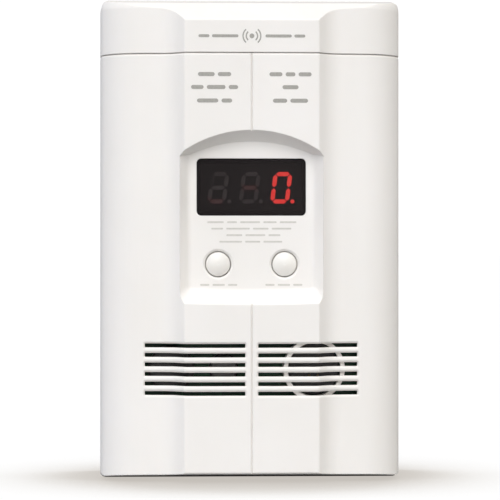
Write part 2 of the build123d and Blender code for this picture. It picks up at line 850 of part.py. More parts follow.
def crown_drop(x):
    """How far the button's crown falls away at a distance x from its axis."""
    return dome_r - (dome_r**2 - x**2) ** 0.5


def button_profile():
    """Half section of a push button, from its axis outwards, depth counted downwards."""
    with BuildLine() as half:
        crown = ThreePointArc(
            (0, -dome_top_d),
            (button_r / 2, -dome_top_d - crown_drop(button_r / 2)),
            (button_r - 0.35, -dome_top_d - crown_drop(button_r - 0.35)),
        )
        rim_d = dome_top_d + crown_drop(button_r - 0.35) + 0.6
        edge = TangentArc(crown @ 1, (button_r, -rim_d), tangent=crown % 1)
        Polyline(
            edge @ 1,
            (button_r, -flange_d),
            (button_hole_r + 0.8, -flange_d),
            (button_hole_r + 0.8, -(flange_d + 0.9)),
            (1.9, -(flange_d + 0.9)),
            (1.9, -stem_end_d),
            (0, -stem_end_d),
            (0, -dome_top_d),
        )
    make_face(half.edges())


with BuildPart() as test_button:
    with BuildSketch(Plane(origin=(-button_x, -depth, button_z), x_dir=(1, 0, 0), z_dir=(0, 0, -1))):
        button_profile()
    revolve(axis=Axis((-button_x, 0, button_z), (0, 1, 0)))
test_button.part.label = "test_button"
export_step(test_button.part, "parts/test_button.step")

with BuildPart() as peak_button:
    with BuildSketch(Plane(origin=(button_x, -depth, button_z), x_dir=(1, 0, 0), z_dir=(0, 0, -1))):
        button_profile()
    revolve(axis=Axis((button_x, 0, button_z), (0, 1, 0)))
peak_button.part.label = "peak_button"
export_step(peak_button.part, "parts/peak_button.step")


with BuildPart() as test_switch_plunger:
    with BuildSketch(Plane.XZ.offset(depth - stem_end_d)):
        with Locations((-button_x, button_z)):
            Circle(plunger_r)
    extrude(amount=-3.4)
test_switch_plunger.part.label = "test_switch_plunger"
export_step(test_switch_plunger.part, "parts/test_switch_plunger.step")

with BuildPart() as peak_switch_plunger:
    with BuildSketch(Plane.XZ.offset(depth - stem_end_d)):
        with Locations((button_x, button_z)):
            Circle(plunger_r)
    extrude(amount=-3.4)
peak_switch_plunger.part.label = "peak_switch_plunger"
export_step(peak_switch_plunger.part, "parts/peak_switch_plunger.step")

with BuildPart() as switch_housings:
    with BuildSketch(Plane.XZ.offset(-board_front)):
        with Locations((-button_x, button_z), (button_x, button_z)):
            RectangleRounded(6.2, 6.2, 0.5)
    extrude(amount=board_d0 - switch_top_d)
    with BuildSketch(Plane.XZ.offset(depth - switch_top_d)):
        with Locations((-button_x, button_z), (button_x, button_z)):
            Circle(plunger_r + 0.06)
    extrude(amount=-2.4, mode=Mode.SUBTRACT)
switch_housings.part.label = "switch_housings"
export_step(switch_housings.part, "parts/switch_housings.step")

# ---------------------------------------------------------------- circuit board
with BuildPart() as circuit_board:
    with BuildSketch(Plane.XZ.offset(-board_back)) as outline:
        with Locations((0, (board_low + board_high) / 2)):
            RectangleRounded(2 * board_half, board_high - board_low, 2.0)
        with Locations(*board_posts):
            Circle(1.35, mode=Mode.SUBTRACT)
    extrude(amount=board_t)
circuit_board.part.label = "circuit_board"
export_step(circuit_board.part, "parts/circuit_board.step")

with BuildPart() as board_screws:
    with BuildSketch(Plane.XZ.offset(-board_back)):
        with Locations(*board_posts):
            Circle(1.0)
    extrude(amount=6.6)
    with BuildSketch(Plane.XZ.offset(-board_back)):
        with Locations(*board_posts):
            Circle(2.2)
    extrude(amount=-1.5)
    heads = board_screws.faces().group_by(Axis.Y)[-1]
    fillet(heads.edges(), radius=0.6)
    with Locations(*[(x, board_back + 1.5, z) for x, z in board_posts]):
        Box(2.2, 1.4, 0.5, mode=Mode.SUBTRACT)
        Box(0.5, 1.4, 2.2, mode=Mode.SUBTRACT)
board_screws.part.label = "board_screws"
export_step(board_screws.part, "parts/board_screws.step")

with BuildPart() as case_screws:
    with BuildSketch(Plane.XZ.offset(17.5)):
        with Locations(*case_bosses):
            Circle(1.5)
    extrude(amount=14.0)
    with BuildSketch(Plane.XZ.offset(17.5)):
        with Locations(*case_bosses):
            Circle(2.9)
    extrude(amount=-2.2)
    heads = case_screws.faces().group_by(Axis.Y)[-1]
    fillet(heads.edges(), radius=0.9)
    with Locations(*[(x, -15.3, z) for x, z in case_bosses]):
        Box(3.0, 2.2, 0.7, mode=Mode.SUBTRACT)
        Box(0.7, 2.2, 3.0, mode=Mode.SUBTRACT)
case_screws.part.label = "case_screws"
export_step(case_screws.part, "parts/case_screws.step")

# parts on the back of the board
with BuildPart() as electrolytic_capacitors:
    with BuildSketch(Plane.XZ.offset(-board_back)):
        with Locations((-30, -8), (-20.5, -14)):
            Circle(4.0)
        with Locations((29, -6)):
            Circle(5.0)
    extrude(amount=-12.5)
    tops = electrolytic_capacitors.faces().group_by(Axis.Y)[-1]
    fillet(tops.edges(), radius=0.7)
electrolytic_capacitors.part.label = "electrolytic_capacitors"
export_step(electrolytic_capacitors.part, "parts/electrolytic_capacitors.step")

with BuildPart() as chip_packages:
    with BuildSketch(Plane.XZ.offset(-board_back)):
        with Locations((-12, -40)):
            Rectangle(12.0, 12.0)
        with Locations((8, -46), (8, -34)):
            Rectangle(6.0, 4.4)
    extrude(amount=-1.5)
    chamfer(chip_packages.faces().group_by(Axis.Y)[-1].edges(), length=0.25)
chip_packages.part.label = "chip_packages"
export_step(chip_packages.part, "parts/chip_packages.step")

chip_spots = [
    (-24, -32), (-24, -36), (-24, -40), (-24, -44), (-24, -48), (-2, -32), (-2, -36), (-2, -40),
    (-2, -44), (-2, -48), (16, -32), (16, -36), (16, -46), (16, -50), (-14, -28), (-10, -28),
    (2, -22), (6, -22), (-30, -24), (30, -28),
]
with BuildPart() as chip_components:
    with BuildSketch(Plane.XZ.offset(-board_back)):
        with Locations(*chip_spots):
            Rectangle(2.0, 1.25)
    extrude(amount=-0.7)
chip_components.part.label = "chip_components"
export_step(chip_components.part, "parts/chip_components.step")

with BuildPart() as voltage_regulator:
    with Locations((4, board_back, -8)):
        Box(10.0, 4.4, 9.0, align=(Align.CENTER, Align.MIN, Align.CENTER))
    with Locations((4, board_back, -1.8)):
        Box(10.0, 1.3, 3.6, align=(Align.CENTER, Align.MIN, Align.CENTER))
    with Locations((4, board_back, -1.9)):
        Cylinder(1.6, 12, rotation=(90, 0, 0), mode=Mode.SUBTRACT)
voltage_regulator.part.label = "voltage_regulator"
export_step(voltage_regulator.part, "parts/voltage_regulator.step")

with BuildPart() as horn_inductor:
    with BuildSketch(Plane(origin=(27, board_back, -48), x_dir=(1, 0, 0), z_dir=(0, 0, -1))):
        with BuildLine():
            Polyline(
                (0, 0), (5.2, 0), (5.2, -1.4), (3.9, -1.4), (3.9, -7.8), (5.2, -7.8), (5.2, -9.2), (0, -9.2),
                close=True,
            )
        make_face()
    revolve(axis=Axis((27, 0, -48), (0, 1, 0)))
horn_inductor.part.label = "horn_inductor"
export_step(horn_inductor.part, "parts/horn_inductor.step")

# ---------------------------------------------------------------- horn
horn_top = 7.0
horn_ledge = 3.4
with BuildPart() as horn_housing:
    with BuildSketch(Plane.XZ.offset(-board_front)):
        with Locations((horn_x, horn_z)):
            Circle(8.1)
    extrude(amount=horn_top)
    crown = horn_housing.faces().sort_by(Axis.Y)[0]
    fillet(crown.edges(), radius=0.6)
    with BuildSketch(Plane.XZ.offset(-board_front - 1)):
        with Locations((horn_x, horn_z)):
            Circle(7.1)
    extrude(amount=1 + horn_ledge, mode=Mode.SUBTRACT)
    with BuildSketch(Plane.XZ.offset(-board_front)):
        with Locations((horn_x, horn_z)):
            Circle(6.4)
    extrude(amount=horn_top - 1.0, mode=Mode.SUBTRACT)
    with BuildSketch(Plane.XZ.offset(-board_front)):
        with Locations((horn_x, horn_z)):
            Circle(0.5)
            with PolarLocations(2.6, 6):
                Circle(0.5)
    extrude(amount=horn_top + 1, mode=Mode.SUBTRACT)
horn_housing.part.label = "horn_housing"
export_step(horn_housing.part, "parts/horn_housing.step")

with BuildPart() as piezo_disc:
    with BuildSketch(Plane.XZ.offset(-board_front + horn_ledge)):
        with Locations((horn_x, horn_z)):
            Circle(7.0)
    extrude(amount=-0.25)
piezo_disc.part.label = "piezo_disc"
export_step(piezo_disc.part, "parts/piezo_disc.step")

with BuildPart() as piezo_ceramic:
    with BuildSketch(Plane.XZ.offset(-board_front + horn_ledge - 0.25)):
        with Locations((horn_x, horn_z)):
            Circle(4.8)
    extrude(amount=-0.25)
piezo_ceramic.part.label = "piezo_ceramic"
export_step(piezo_ceramic.part, "parts/piezo_ceramic.step")

# ---------------------------------------------------------------- sensors
co_x, co_z = -25.0, -41.0
with BuildPart() as co_sensor_cell:
    with BuildSketch(Plane.XZ.offset(-board_front)):
        with Locations((co_x, co_z)):
            Circle(7.3)
    extrude(amount=6.6)
    rim = co_sensor_cell.faces().sort_by(Axis.Y)[0].edges()
    fillet(rim, radius=0.8)
co_sensor_cell.part.label = "co_sensor_cell"
export_step(co_sensor_cell.part, "parts/co_sensor_cell.step")

with BuildPart() as co_sensor_cap:
    with BuildSketch(Plane.XZ.offset(-board_front + 6.6)):
        with Locations((co_x, co_z)):
            Circle(5.6)
            with PolarLocations(3.2, 6):
                Circle(0.55, mode=Mode.SUBTRACT)
            Circle(0.55, mode=Mode.SUBTRACT)
    extrude(amount=1.2)
co_sensor_cap.part.label = "co_sensor_cap"
export_step(co_sensor_cap.part, "parts/co_sensor_cap.step")

gas_x, gas_z = -8.5, -41.0
with BuildPart() as gas_sensor_base:
    with BuildSketch(Plane.XZ.offset(-board_front)):
        with Locations((gas_x, gas_z)):
            Circle(4.7)
    extrude(amount=1.8)
gas_sensor_base.part.label = "gas_sensor_base"
export_step(gas_sensor_base.part, "parts/gas_sensor_base.step")

with BuildPart() as gas_sensor_can:
    with BuildSketch(Plane.XZ.offset(-board_front + 1.8)):
        with Locations((gas_x, gas_z)):
            Circle(4.2)
    extrude(amount=5.6)
    rim = gas_sensor_can.faces().sort_by(Axis.Y)[0].edges()
    fillet(rim, radius=0.6)
    with BuildSketch(Plane.XZ.offset(-board_front + 1.8)):
        with Locations((gas_x, gas_z)):
            Circle(3.9)
    extrude(amount=5.3, mode=Mode.SUBTRACT)
    with BuildSketch(Plane.XZ.offset(-board_front + 1.8)):
        with Locations((gas_x, gas_z)):
            Circle(3.0)
    extrude(amount=7, mode=Mode.SUBTRACT)
gas_sensor_can.part.label = "gas_sensor_can"
export_step(gas_sensor_can.part, "parts/gas_sensor_can.step")

with BuildPart() as gas_sensor_gauze:
    with BuildSketch(Plane.XZ.offset(-board_front + 7.0)):
        with Locations((gas_x, gas_z)):
            Circle(3.8)
    extrude(amount=-0.25)
gas_sensor_gauze.part.label = "gas_sensor_gauze"
export_step(gas_sensor_gauze.part, "parts/gas_sensor_gauze.step")

# ---------------------------------------------------------------- adapter
adapter_mid = (adapter_low + adapter_high) / 2
adapter_wall = 1.6
with BuildPart() as adapter_housing:
    with BuildSketch(Plane.XZ.offset(-adapter_lid_y)):
        with Locations((0, adapter_mid)):
            RectangleRounded(2 * adapter_half, adapter_high - adapter_low, 1.6)
    extrude(amount=adapter_lid_y - adapter_in_y)
    inner_rim = adapter_housing.faces().sort_by(Axis.Y)[0].edges()
    fillet(inner_rim, radius=1.0)
    with BuildSketch(Plane.XZ.offset(-adapter_lid_y)):
        with Locations((0, adapter_mid)):
            RectangleRounded(
                2 * (adapter_half - adapter_wall), adapter_high - adapter_low - 2 * adapter_wall, 0.8
            )
    extrude(amount=adapter_lid_y - adapter_in_y - adapter_wall, mode=Mode.SUBTRACT)
    with BuildSketch(Plane.XZ.offset(-adapter_in_y - 3)):
        with Locations((-4, 12), (4, 12)):
            Circle(1.4)
    extrude(amount=6, mode=Mode.SUBTRACT)
adapter_housing.part.label = "adapter_housing"
export_step(adapter_housing.part, "parts/adapter_housing.step")

with BuildPart() as adapter_lid:
    with BuildSketch(Plane.XZ.offset(-adapter_out_y)):
        with Locations((0, adapter_mid)):
            RectangleRounded(2 * adapter_half, adapter_high - adapter_low, 1.6)
    extrude(amount=adapter_out_y - adapter_lid_y)
    with BuildSketch(Plane.XZ.offset(-adapter_lid_y)):
        with Locations((0, adapter_mid)):
            RectangleRounded(
                2 * (adapter_half - adapter_wall) - 0.2,
                adapter_high - adapter_low - 2 * adapter_wall - 0.2,
                0.7,
            )
    extrude(amount=1.4)
    # shallow finger scoops for pulling the adapter out
    for side in (-1, 1):
        with Locations((side * 20.5, adapter_out_y, adapter_mid)):
            Cylinder(5.5, 1.6, rotation=(90, 0, 0), mode=Mode.SUBTRACT)
    with Locations((-blade_pitch / 2, adapter_lid_y, blade_z), (blade_pitch / 2, adapter_lid_y, blade_z)):
        Box(blade_t + 0.04, 12, blade_w + 0.04, mode=Mode.SUBTRACT)
adapter_lid.part.label = "adapter_lid"
export_step(adapter_lid.part, "parts/adapter_lid.step")

with BuildPart() as plug_blades:
    for side in (-1, 1):
        with BuildSketch(Plane.YZ.offset(side * blade_pitch / 2 - blade_t / 2)):
            with BuildLine():
                Polyline(
                    (-4.4, blade_z - blade_w / 2),
                    (blade_reach - 2.6, blade_z - blade_w / 2),
                    (blade_reach, blade_z - blade_w / 2 + 1.6),
                    (blade_reach, blade_z + blade_w / 2 - 1.6),
                    (blade_reach - 2.6, blade_z + blade_w / 2),
                    (-4.4, blade_z + blade_w / 2),
                    close=True,
                )
            make_face()
            with Locations((blade_reach - 4.0 - 1.6, blade_z)):
                Circle(1.6, mode=Mode.SUBTRACT)
        extrude(amount=blade_t)
plug_blades.part.label = "plug_blades"
export_step(plug_blades.part, "parts/plug_blades.step")

with BuildPart() as transformer_core:
    with BuildSketch(Plane.XZ.offset(8.0)):
        with Locations((0, 30.5)):
            Rectangle(36, 27)
        with Locations((-9, 30.5), (9, 30.5)):
            Rectangle(9, 18, mode=Mode.SUBTRACT)
    extrude(amount=10.0)
transformer_core.part.label = "transformer_core"
export_step(transformer_core.part, "parts/transformer_core.step")

with BuildPart() as transformer_winding:
    with BuildSketch(Plane.XY.offset(30.5 - 8.8)):
        with Locations((0, -13.0)):
            RectangleRounded(25.6, 15.4, 2.0)
            Rectangle(9.2, 10.2, mode=Mode.SUBTRACT)
    extrude(amount=17.6)
transformer_winding.part.label = "transformer_winding"
export_step(transformer_winding.part, "parts/transformer_winding.step")

with BuildPart() as board_contact_pins:
    with BuildSketch(Plane.XZ.offset(-board_back)):
        with Locations((-4, 12), (4, 12)):
            Circle(1.0)
    extrude(amount=board_back + 17.0 if board_back + 17.0 < 0 else -11.0)
    fillet(board_contact_pins.faces().group_by(Axis.Y)[-1].edges(), radius=0.4)
board_contact_pins.part.label = "board_contact_pins"
export_step(board_contact_pins.part, "parts/board_contact_pins.step")

with BuildPart() as adapter_contact_sleeves:
    with BuildSketch(Plane.XZ.offset(-adapter_in_y - adapter_wall)):
        with Locations((-4, 12), (4, 12)):
            Circle(2.0)
            Circle(1.07, mode=Mode.SUBTRACT)
    extrude(amount=-8.0)
adapter_contact_sleeves.part.label = "adapter_contact_sleeves"
export_step(adapter_contact_sleeves.part, "parts/adapter_contact_sleeves.step")
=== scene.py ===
import math
import bpy
import bmesh
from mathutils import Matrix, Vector


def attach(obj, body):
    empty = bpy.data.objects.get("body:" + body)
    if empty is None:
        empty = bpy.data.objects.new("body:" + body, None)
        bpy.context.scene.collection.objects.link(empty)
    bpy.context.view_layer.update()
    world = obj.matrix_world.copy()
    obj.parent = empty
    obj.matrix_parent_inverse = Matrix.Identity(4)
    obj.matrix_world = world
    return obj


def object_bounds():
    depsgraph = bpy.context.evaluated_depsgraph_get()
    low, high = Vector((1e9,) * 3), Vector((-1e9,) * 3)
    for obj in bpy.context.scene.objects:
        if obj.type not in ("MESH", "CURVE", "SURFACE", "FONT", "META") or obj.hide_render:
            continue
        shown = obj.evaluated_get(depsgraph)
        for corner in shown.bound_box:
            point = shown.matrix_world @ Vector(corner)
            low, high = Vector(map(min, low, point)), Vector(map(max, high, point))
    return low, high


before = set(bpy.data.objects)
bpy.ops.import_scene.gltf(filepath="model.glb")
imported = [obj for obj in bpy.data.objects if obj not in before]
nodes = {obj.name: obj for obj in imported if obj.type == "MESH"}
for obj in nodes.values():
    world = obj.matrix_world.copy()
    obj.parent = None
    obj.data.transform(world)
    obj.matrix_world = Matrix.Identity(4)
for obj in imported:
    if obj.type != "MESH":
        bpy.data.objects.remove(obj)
cad_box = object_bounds()
scene = bpy.context.scene
MM = 0.001

# ------------------------------------------------------------------ node helpers


def material(name):
    mat = bpy.data.materials.new(name)
    mat.use_nodes = True
    nt = mat.node_tree
    nt.nodes.clear()
    out = nt.nodes.new("ShaderNodeOutputMaterial")
    bsdf = nt.nodes.new("ShaderNodeBsdfPrincipled")
    nt.links.new(bsdf.outputs[0], out.inputs[0])
    return mat, nt, bsdf


def add(nt, kind, **values):
    n = nt.nodes.new(kind)
    for key, value in values.items():
        if hasattr(n, key):
            setattr(n, key, value)
        else:
            n.inputs[key.replace("_", " ")].default_value = value
    return n


def coords(nt):
    return add(nt, "ShaderNodeTexCoord").outputs["Object"]


def noise(nt, scale, detail=3.0, rough=0.5, stretch=None):
    src = coords(nt)
    if stretch:
        m = add(nt, "ShaderNodeMapping")
        m.inputs["Scale"].default_value = stretch
        nt.links.new(src, m.inputs["Vector"])
        src = m.outputs[0]
    n = add(nt, "ShaderNodeTexNoise")
    n.inputs["Scale"].default_value = scale
    n.inputs["Detail"].default_value = detail
    n.inputs["Roughness"].default_value = rough
    nt.links.new(src, n.inputs["Vector"])
    return n.outputs["Fac"]


def ramp(nt, src, stops):
    r = add(nt, "ShaderNodeValToRGB")
    r.color_ramp.elements.remove(r.color_ramp.elements[0])
    first = r.color_ramp.elements[0]
    first.position, first.color = stops[0][0], (*stops[0][1], 1) if len(stops[0][1]) == 3 else stops[0][1]
    for pos, col in stops[1:]:
        e = r.color_ramp.elements.new(pos)
        e.color = (*col, 1) if len(col) == 3 else col
    nt.links.new(src, r.inputs[0])
    return r.outputs[0]


def mapped(nt, src, low, high, from_low=0.0, from_high=1.0):
    m = add(nt, "ShaderNodeMapRange")
    m.inputs["From Min"].default_value = from_low
    m.inputs["From Max"].default_value = from_high
    m.inputs["To Min"].default_value = low
    m.inputs["To Max"].default_value = high
    nt.links.new(src, m.inputs["Value"])
    return m.outputs[0]


def maths(nt, op, a, b=None):
    m = add(nt, "ShaderNodeMath", operation=op)
    for i, v in enumerate((a, b)):
        if v is None:
            continue
        if isinstance(v, (int, float)):
            m.inputs[i].default_value = v
        else:
            nt.links.new(v, m.inputs[i])
    return m.outputs[0]


def mixed(nt, fac, a, b, blend="MIX"):
    m = add(nt, "ShaderNodeMix", data_type="RGBA", blend_type=blend)
    for sock, v in ((m.inputs[0], fac), (m.inputs[6], a), (m.inputs[7], b)):
        if isinstance(v, (int, float)):
            sock.default_value = v
        elif isinstance(v, tuple):
            sock.default_value = (*v, 1) if len(v) == 3 else v
        else:
            nt.links.new(v, sock)
    return m.outputs[2]


def bump(nt, height, strength, distance, normal=None):
    b = add(nt, "ShaderNodeBump")
    b.inputs["Strength"].default_value = strength
    b.inputs["Distance"].default_value = distance
    nt.links.new(height, b.inputs["Height"])
    if normal is not None:
        nt.links.new(normal, b.inputs["Normal"])
    return b.outputs[0]


def soft_edges(nt, radius):
    b = add(nt, "ShaderNodeBevel")
    b.samples = 4
    b.inputs["Radius"].default_value = radius
    return b.outputs[0]


def srgb(r, g, b):
    return tuple(((c / 255 + 0.055) / 1.055) ** 2.4 if c > 10 else c / 255 / 12.92 for c in (r, g, b))


# ------------------------------------------------------------------ materials


def moulded(name, colour, darker, rough, grain=0.30, edge=0.25, grain_scale=1500.0, sss=0.0):
    """Injection-moulded plastic: fine spark grain, faint flow variation, softened edges."""
    mat, nt, p = material(name)
    cloud = noise(nt, 22.0, 4.0, 0.6)
    flow = noise(nt, 60.0, 3.0, 0.5, stretch=(1, 1, 0.25))
    shade = maths(nt, "MULTIPLY", maths(nt, "ADD", cloud, flow), 0.5)
    base = ramp(nt, shade, [(0.35, darker), (0.62, colour)])
    nt.links.new(base, p.inputs["Base Color"])
    fine = noise(nt, grain_scale, 2.0, 0.6)
    nt.links.new(mapped(nt, maths(nt, "ADD", maths(nt, "MULTIPLY", fine, 0.5), maths(nt, "MULTIPLY", cloud, 0.5)),
                        rough - 0.06, rough + 0.07, 0.3, 0.7), p.inputs["Roughness"])
    normal = soft_edges(nt, edge * MM) if edge else None
    wave = bump(nt, noise(nt, 35.0, 2.0, 0.4), 0.10, 0.0004, normal)
    nt.links.new(bump(nt, fine, grain, 0.00004, wave), p.inputs["Normal"])
    p.inputs["IOR"].default_value = 1.50
    if sss:
        p.inputs["Subsurface Weight"].default_value = sss
        p.inputs["Subsurface Radius"].default_value = (1.0, 0.85, 0.7)
        p.inputs["Subsurface Scale"].default_value = 0.0012
    return mat


def metal(name, colour, rough, brush=(1, 1, 1), tarnish=0.0, tarnish_colour=(0.3, 0.25, 0.2), scale=900.0):
    mat, nt, p = material(name)
    fine = noise(nt, scale, 3.0, 0.6, stretch=brush)
    cloud = noise(nt, 120.0, 4.0, 0.6)
    base = mixed(nt, maths(nt, "MULTIPLY", cloud, tarnish), tuple(colour), tuple(tarnish_colour))
    shade = mixed(nt, mapped(nt, fine, 0.0, 0.16), base, (0.1, 0.1, 0.1))
    nt.links.new(shade, p.inputs["Base Color"])
    p.inputs["Metallic"].default_value = 1.0
    nt.links.new(mapped(nt, fine, rough - 0.08, rough + 0.12), p.inputs["Roughness"])
    nt.links.new(bump(nt, fine, 0.15, 0.00002, soft_edges(nt, 0.12 * MM)), p.inputs["Normal"])
    return mat


shell = moulded("shell_plastic", srgb(243, 240, 236), srgb(239, 236, 231), 0.46, edge=0.40, sss=0.06)
button_mat = moulded("button_plastic", srgb(240, 238, 232), srgb(235, 232, 226), 0.36, grain=0.12, edge=0.15, sss=0.06)
tray_mat = moulded("tray_plastic", srgb(236, 234, 228), srgb(230, 227, 220), 0.50)
adapter_mat = moulded("adapter_plastic", srgb(240, 238, 233), srgb(234, 231, 225), 0.50, grain=0.45)
black_mat = moulded("black_plastic", (0.020, 0.020, 0.021), (0.012, 0.012, 0.013), 0.48, edge=0.1)
grey_disc = moulded("horn_plastic", (0.055, 0.055, 0.055), (0.035, 0.035, 0.035), 0.50, edge=0.15)
display_mat = moulded("display_plastic", (0.030, 0.028, 0.028), (0.022, 0.020, 0.020), 0.55, edge=0.1)

# dark tinted window, polished, faintly orange-peeled
window_mat, nt, p = material("window_acrylic")
nt.links.new(ramp(nt, noise(nt, 30.0), [(0.3, (0.012, 0.008, 0.008)), (0.7, (0.018, 0.013, 0.013))]), p.inputs["Base Color"])
nt.links.new(mapped(nt, noise(nt, 200.0, 4.0), 0.05, 0.11), p.inputs["Roughness"])
nt.links.new(bump(nt, noise(nt, 90.0, 2.0), 0.05, 0.0002, soft_edges(nt, 0.2 * MM)), p.inputs["Normal"])
p.inputs["IOR"].default_value = 1.49
p.inputs["Specular IOR Level"].default_value = 0.25
p.inputs["Alpha"].default_value = 0.55

# segments behind the window: frosted, with painted shade darkening the upper-left and right ones, and a faint painted
# red glow near the lit segments
seg_off, nt, p = material("segment_unlit")
place = add(nt, "ShaderNodeSeparateXYZ")
nt.links.new(coords(nt), place.inputs[0])
px, pz = place.outputs[0], place.outputs[2]
# painted shade: unlit segments at the upper left and at the right are darkened in their colour, standing in for shade
painted_shade = maths(nt, "MULTIPLY", mapped(nt, px, 1.0, 0.0, -0.0122, -0.0112), mapped(nt, pz, 0.0, 1.0, 0.0158, 0.0166))
painted_shade = maths(nt, "MAXIMUM", painted_shade, mapped(nt, px, 0.0, 1.0, 0.0050, 0.0056))
frost = ramp(nt, noise(nt, 700.0, 3.0), [(0.3, (0.42, 0.36, 0.36)), (0.7, (0.52, 0.45, 0.45))])
patchy = mixed(nt, mapped(nt, noise(nt, 160.0, 2.0), 0.0, 0.45, 0.35, 0.65), frost, (0.16, 0.14, 0.14))
nt.links.new(mixed(nt, maths(nt, "MULTIPLY", painted_shade, 0.93), patchy, (0.03, 0.028, 0.028)), p.inputs["Base Color"])
nt.links.new(mapped(nt, noise(nt, 900.0), 0.35, 0.5), p.inputs["Roughness"])
# painted light: unlit segments beside the lit bar and at the lower left glow faint red, as spill from the lit segments
painted_glow_near_bar = maths(nt, "MULTIPLY", maths(nt, "LESS_THAN", maths(nt, "ABSOLUTE", maths(nt, "SUBTRACT", pz, 0.01585)), 0.0009),
                 maths(nt, "LESS_THAN", maths(nt, "ABSOLUTE", maths(nt, "ADD", px, 0.0004)), 0.0024))
painted_glow_near_foot = maths(nt, "MULTIPLY", maths(nt, "LESS_THAN", pz, 0.0126), maths(nt, "LESS_THAN", px, -0.0088))
p.inputs["Emission Color"].default_value = (1.0, 0.06, 0.04, 1)
nt.links.new(maths(nt, "MULTIPLY", maths(nt, "MAXIMUM", painted_glow_near_bar, painted_glow_near_foot), 0.10), p.inputs["Emission Strength"])
seg_on, nt, p = material("segment_lit")
cell = noise(nt, 500.0, 2.0)
nt.links.new(ramp(nt, cell, [(0.3, (0.70, 0.05, 0.03)), (0.7, (0.85, 0.08, 0.05))]), p.inputs["Base Color"])
nt.links.new(ramp(nt, cell, [(0.3, (1.0, 0.048, 0.042)), (0.7, (1.0, 0.070, 0.058))]), p.inputs["Emission Color"])
p.inputs["Emission Strength"].default_value = 2.9
p.inputs["Roughness"].default_value = 0.4

foam_mat, nt, p = material("foam")
pores = add(nt, "ShaderNodeTexVoronoi")
pores.inputs["Scale"].default_value = 2500.0
nt.links.new(coords(nt), pores.inputs["Vector"])
nt.links.new(ramp(nt, pores.outputs["Distance"], [(0.1, (0.004, 0.004, 0.004)), (0.6, (0.02, 0.02, 0.02))]), p.inputs["Base Color"])
p.inputs["Roughness"].default_value = 0.95
nt.links.new(bump(nt, pores.outputs["Distance"], 0.6, 0.0001), p.inputs["Normal"])

# green solder mask with tracks under it
board_mat, nt, p = material("circuit_board")
tracks = add(nt, "ShaderNodeTexBrick")
tracks.offset = 0.5
for key, val in (("Scale", 260.0), ("Mortar Size", 0.06), ("Brick Width", 1.6), ("Row Height", 0.35)):
    tracks.inputs[key].default_value = val
turn = add(nt, "ShaderNodeMapping")
turn.inputs["Rotation"].default_value = (math.radians(90), 0, 0)
nt.links.new(coords(nt), turn.inputs["Vector"])
nt.links.new(turn.outputs[0], tracks.inputs["Vector"])
mask = mixed(nt, tracks.outputs["Fac"], (0.010, 0.070, 0.030), (0.020, 0.120, 0.050))
nt.links.new(mixed(nt, mapped(nt, noise(nt, 90.0), 0.0, 0.4), mask, (0.008, 0.05, 0.024)), p.inputs["Base Color"])
nt.links.new(mapped(nt, noise(nt, 500.0), 0.25, 0.40), p.inputs["Roughness"])
nt.links.new(bump(nt, tracks.outputs["Fac"], 0.4, 0.00004, soft_edges(nt, 0.1 * MM)), p.inputs["Normal"])

chip_mat = moulded("chip_compound", (0.022, 0.022, 0.024), (0.014, 0.014, 0.016), 0.62, edge=0.08)
ceramic_mat = moulded("ceramic", (0.72, 0.68, 0.60), (0.62, 0.58, 0.50), 0.55, edge=0.06)
cap_mat = moulded("capacitor_sleeve", (0.018, 0.026, 0.085), (0.012, 0.018, 0.060), 0.28, grain=0.08, edge=0.15)
ferrite_mat = moulded("ferrite", (0.040, 0.040, 0.042), (0.022, 0.022, 0.024), 0.70, grain=0.8, edge=0.1)
cell_mat = metal("sensor_cell_steel", (0.085, 0.085, 0.085), 0.55, tarnish=0.4, tarnish_colour=(0.04, 0.04, 0.04))
can_mat = metal("sensor_can", (0.20, 0.20, 0.195), 0.50, tarnish=0.4, tarnish_colour=(0.08, 0.075, 0.07))
steel_mat = metal("zinc_steel", (0.62, 0.62, 0.61), 0.34, tarnish=0.25)
nickel_mat = metal("nickel", (0.66, 0.65, 0.61), 0.24, tarnish=0.15)
blade_mat = metal("blade_nickel_brass", (0.78, 0.74, 0.64), 0.26, brush=(1, 0.15, 1), tarnish=0.30, tarnish_colour=(0.55, 0.43, 0.25))
brass_mat = metal("brass", (0.76, 0.56, 0.24), 0.30, tarnish=0.35)
disc_mat = metal("piezo_brass", (0.50, 0.36, 0.15), 0.45, tarnish=0.6, tarnish_colour=(0.16, 0.11, 0.05))
laminate_mat = metal("laminations", (0.16, 0.16, 0.17), 0.45, brush=(0.02, 1, 0.02), tarnish=0.2, scale=2500.0)
red_wire_mat = moulded("red_insulation", (0.50, 0.015, 0.012), (0.40, 0.010, 0.010), 0.40, grain=0.1, edge=0)
black_wire_mat = moulded("black_insulation", (0.016, 0.016, 0.017), (0.010, 0.010, 0.010), 0.42, grain=0.1, edge=0)

winding_mat, nt, p = material("winding_tape")
lines = add(nt, "ShaderNodeTexWave", wave_type="BANDS", bands_direction="Z")
lines.inputs["Scale"].default_value = 260.0
lines.inputs["Distortion"].default_value = 0.6
nt.links.new(coords(nt), lines.inputs["Vector"])
nt.links.new(ramp(nt, lines.outputs["Fac"], [(0.2, (0.52, 0.36, 0.08)), (0.8, (0.70, 0.50, 0.12))]), p.inputs["Base Color"])
p.inputs["Roughness"].default_value = 0.35
nt.links.new(bump(nt, lines.outputs["Fac"], 0.4, 0.0001), p.inputs["Normal"])

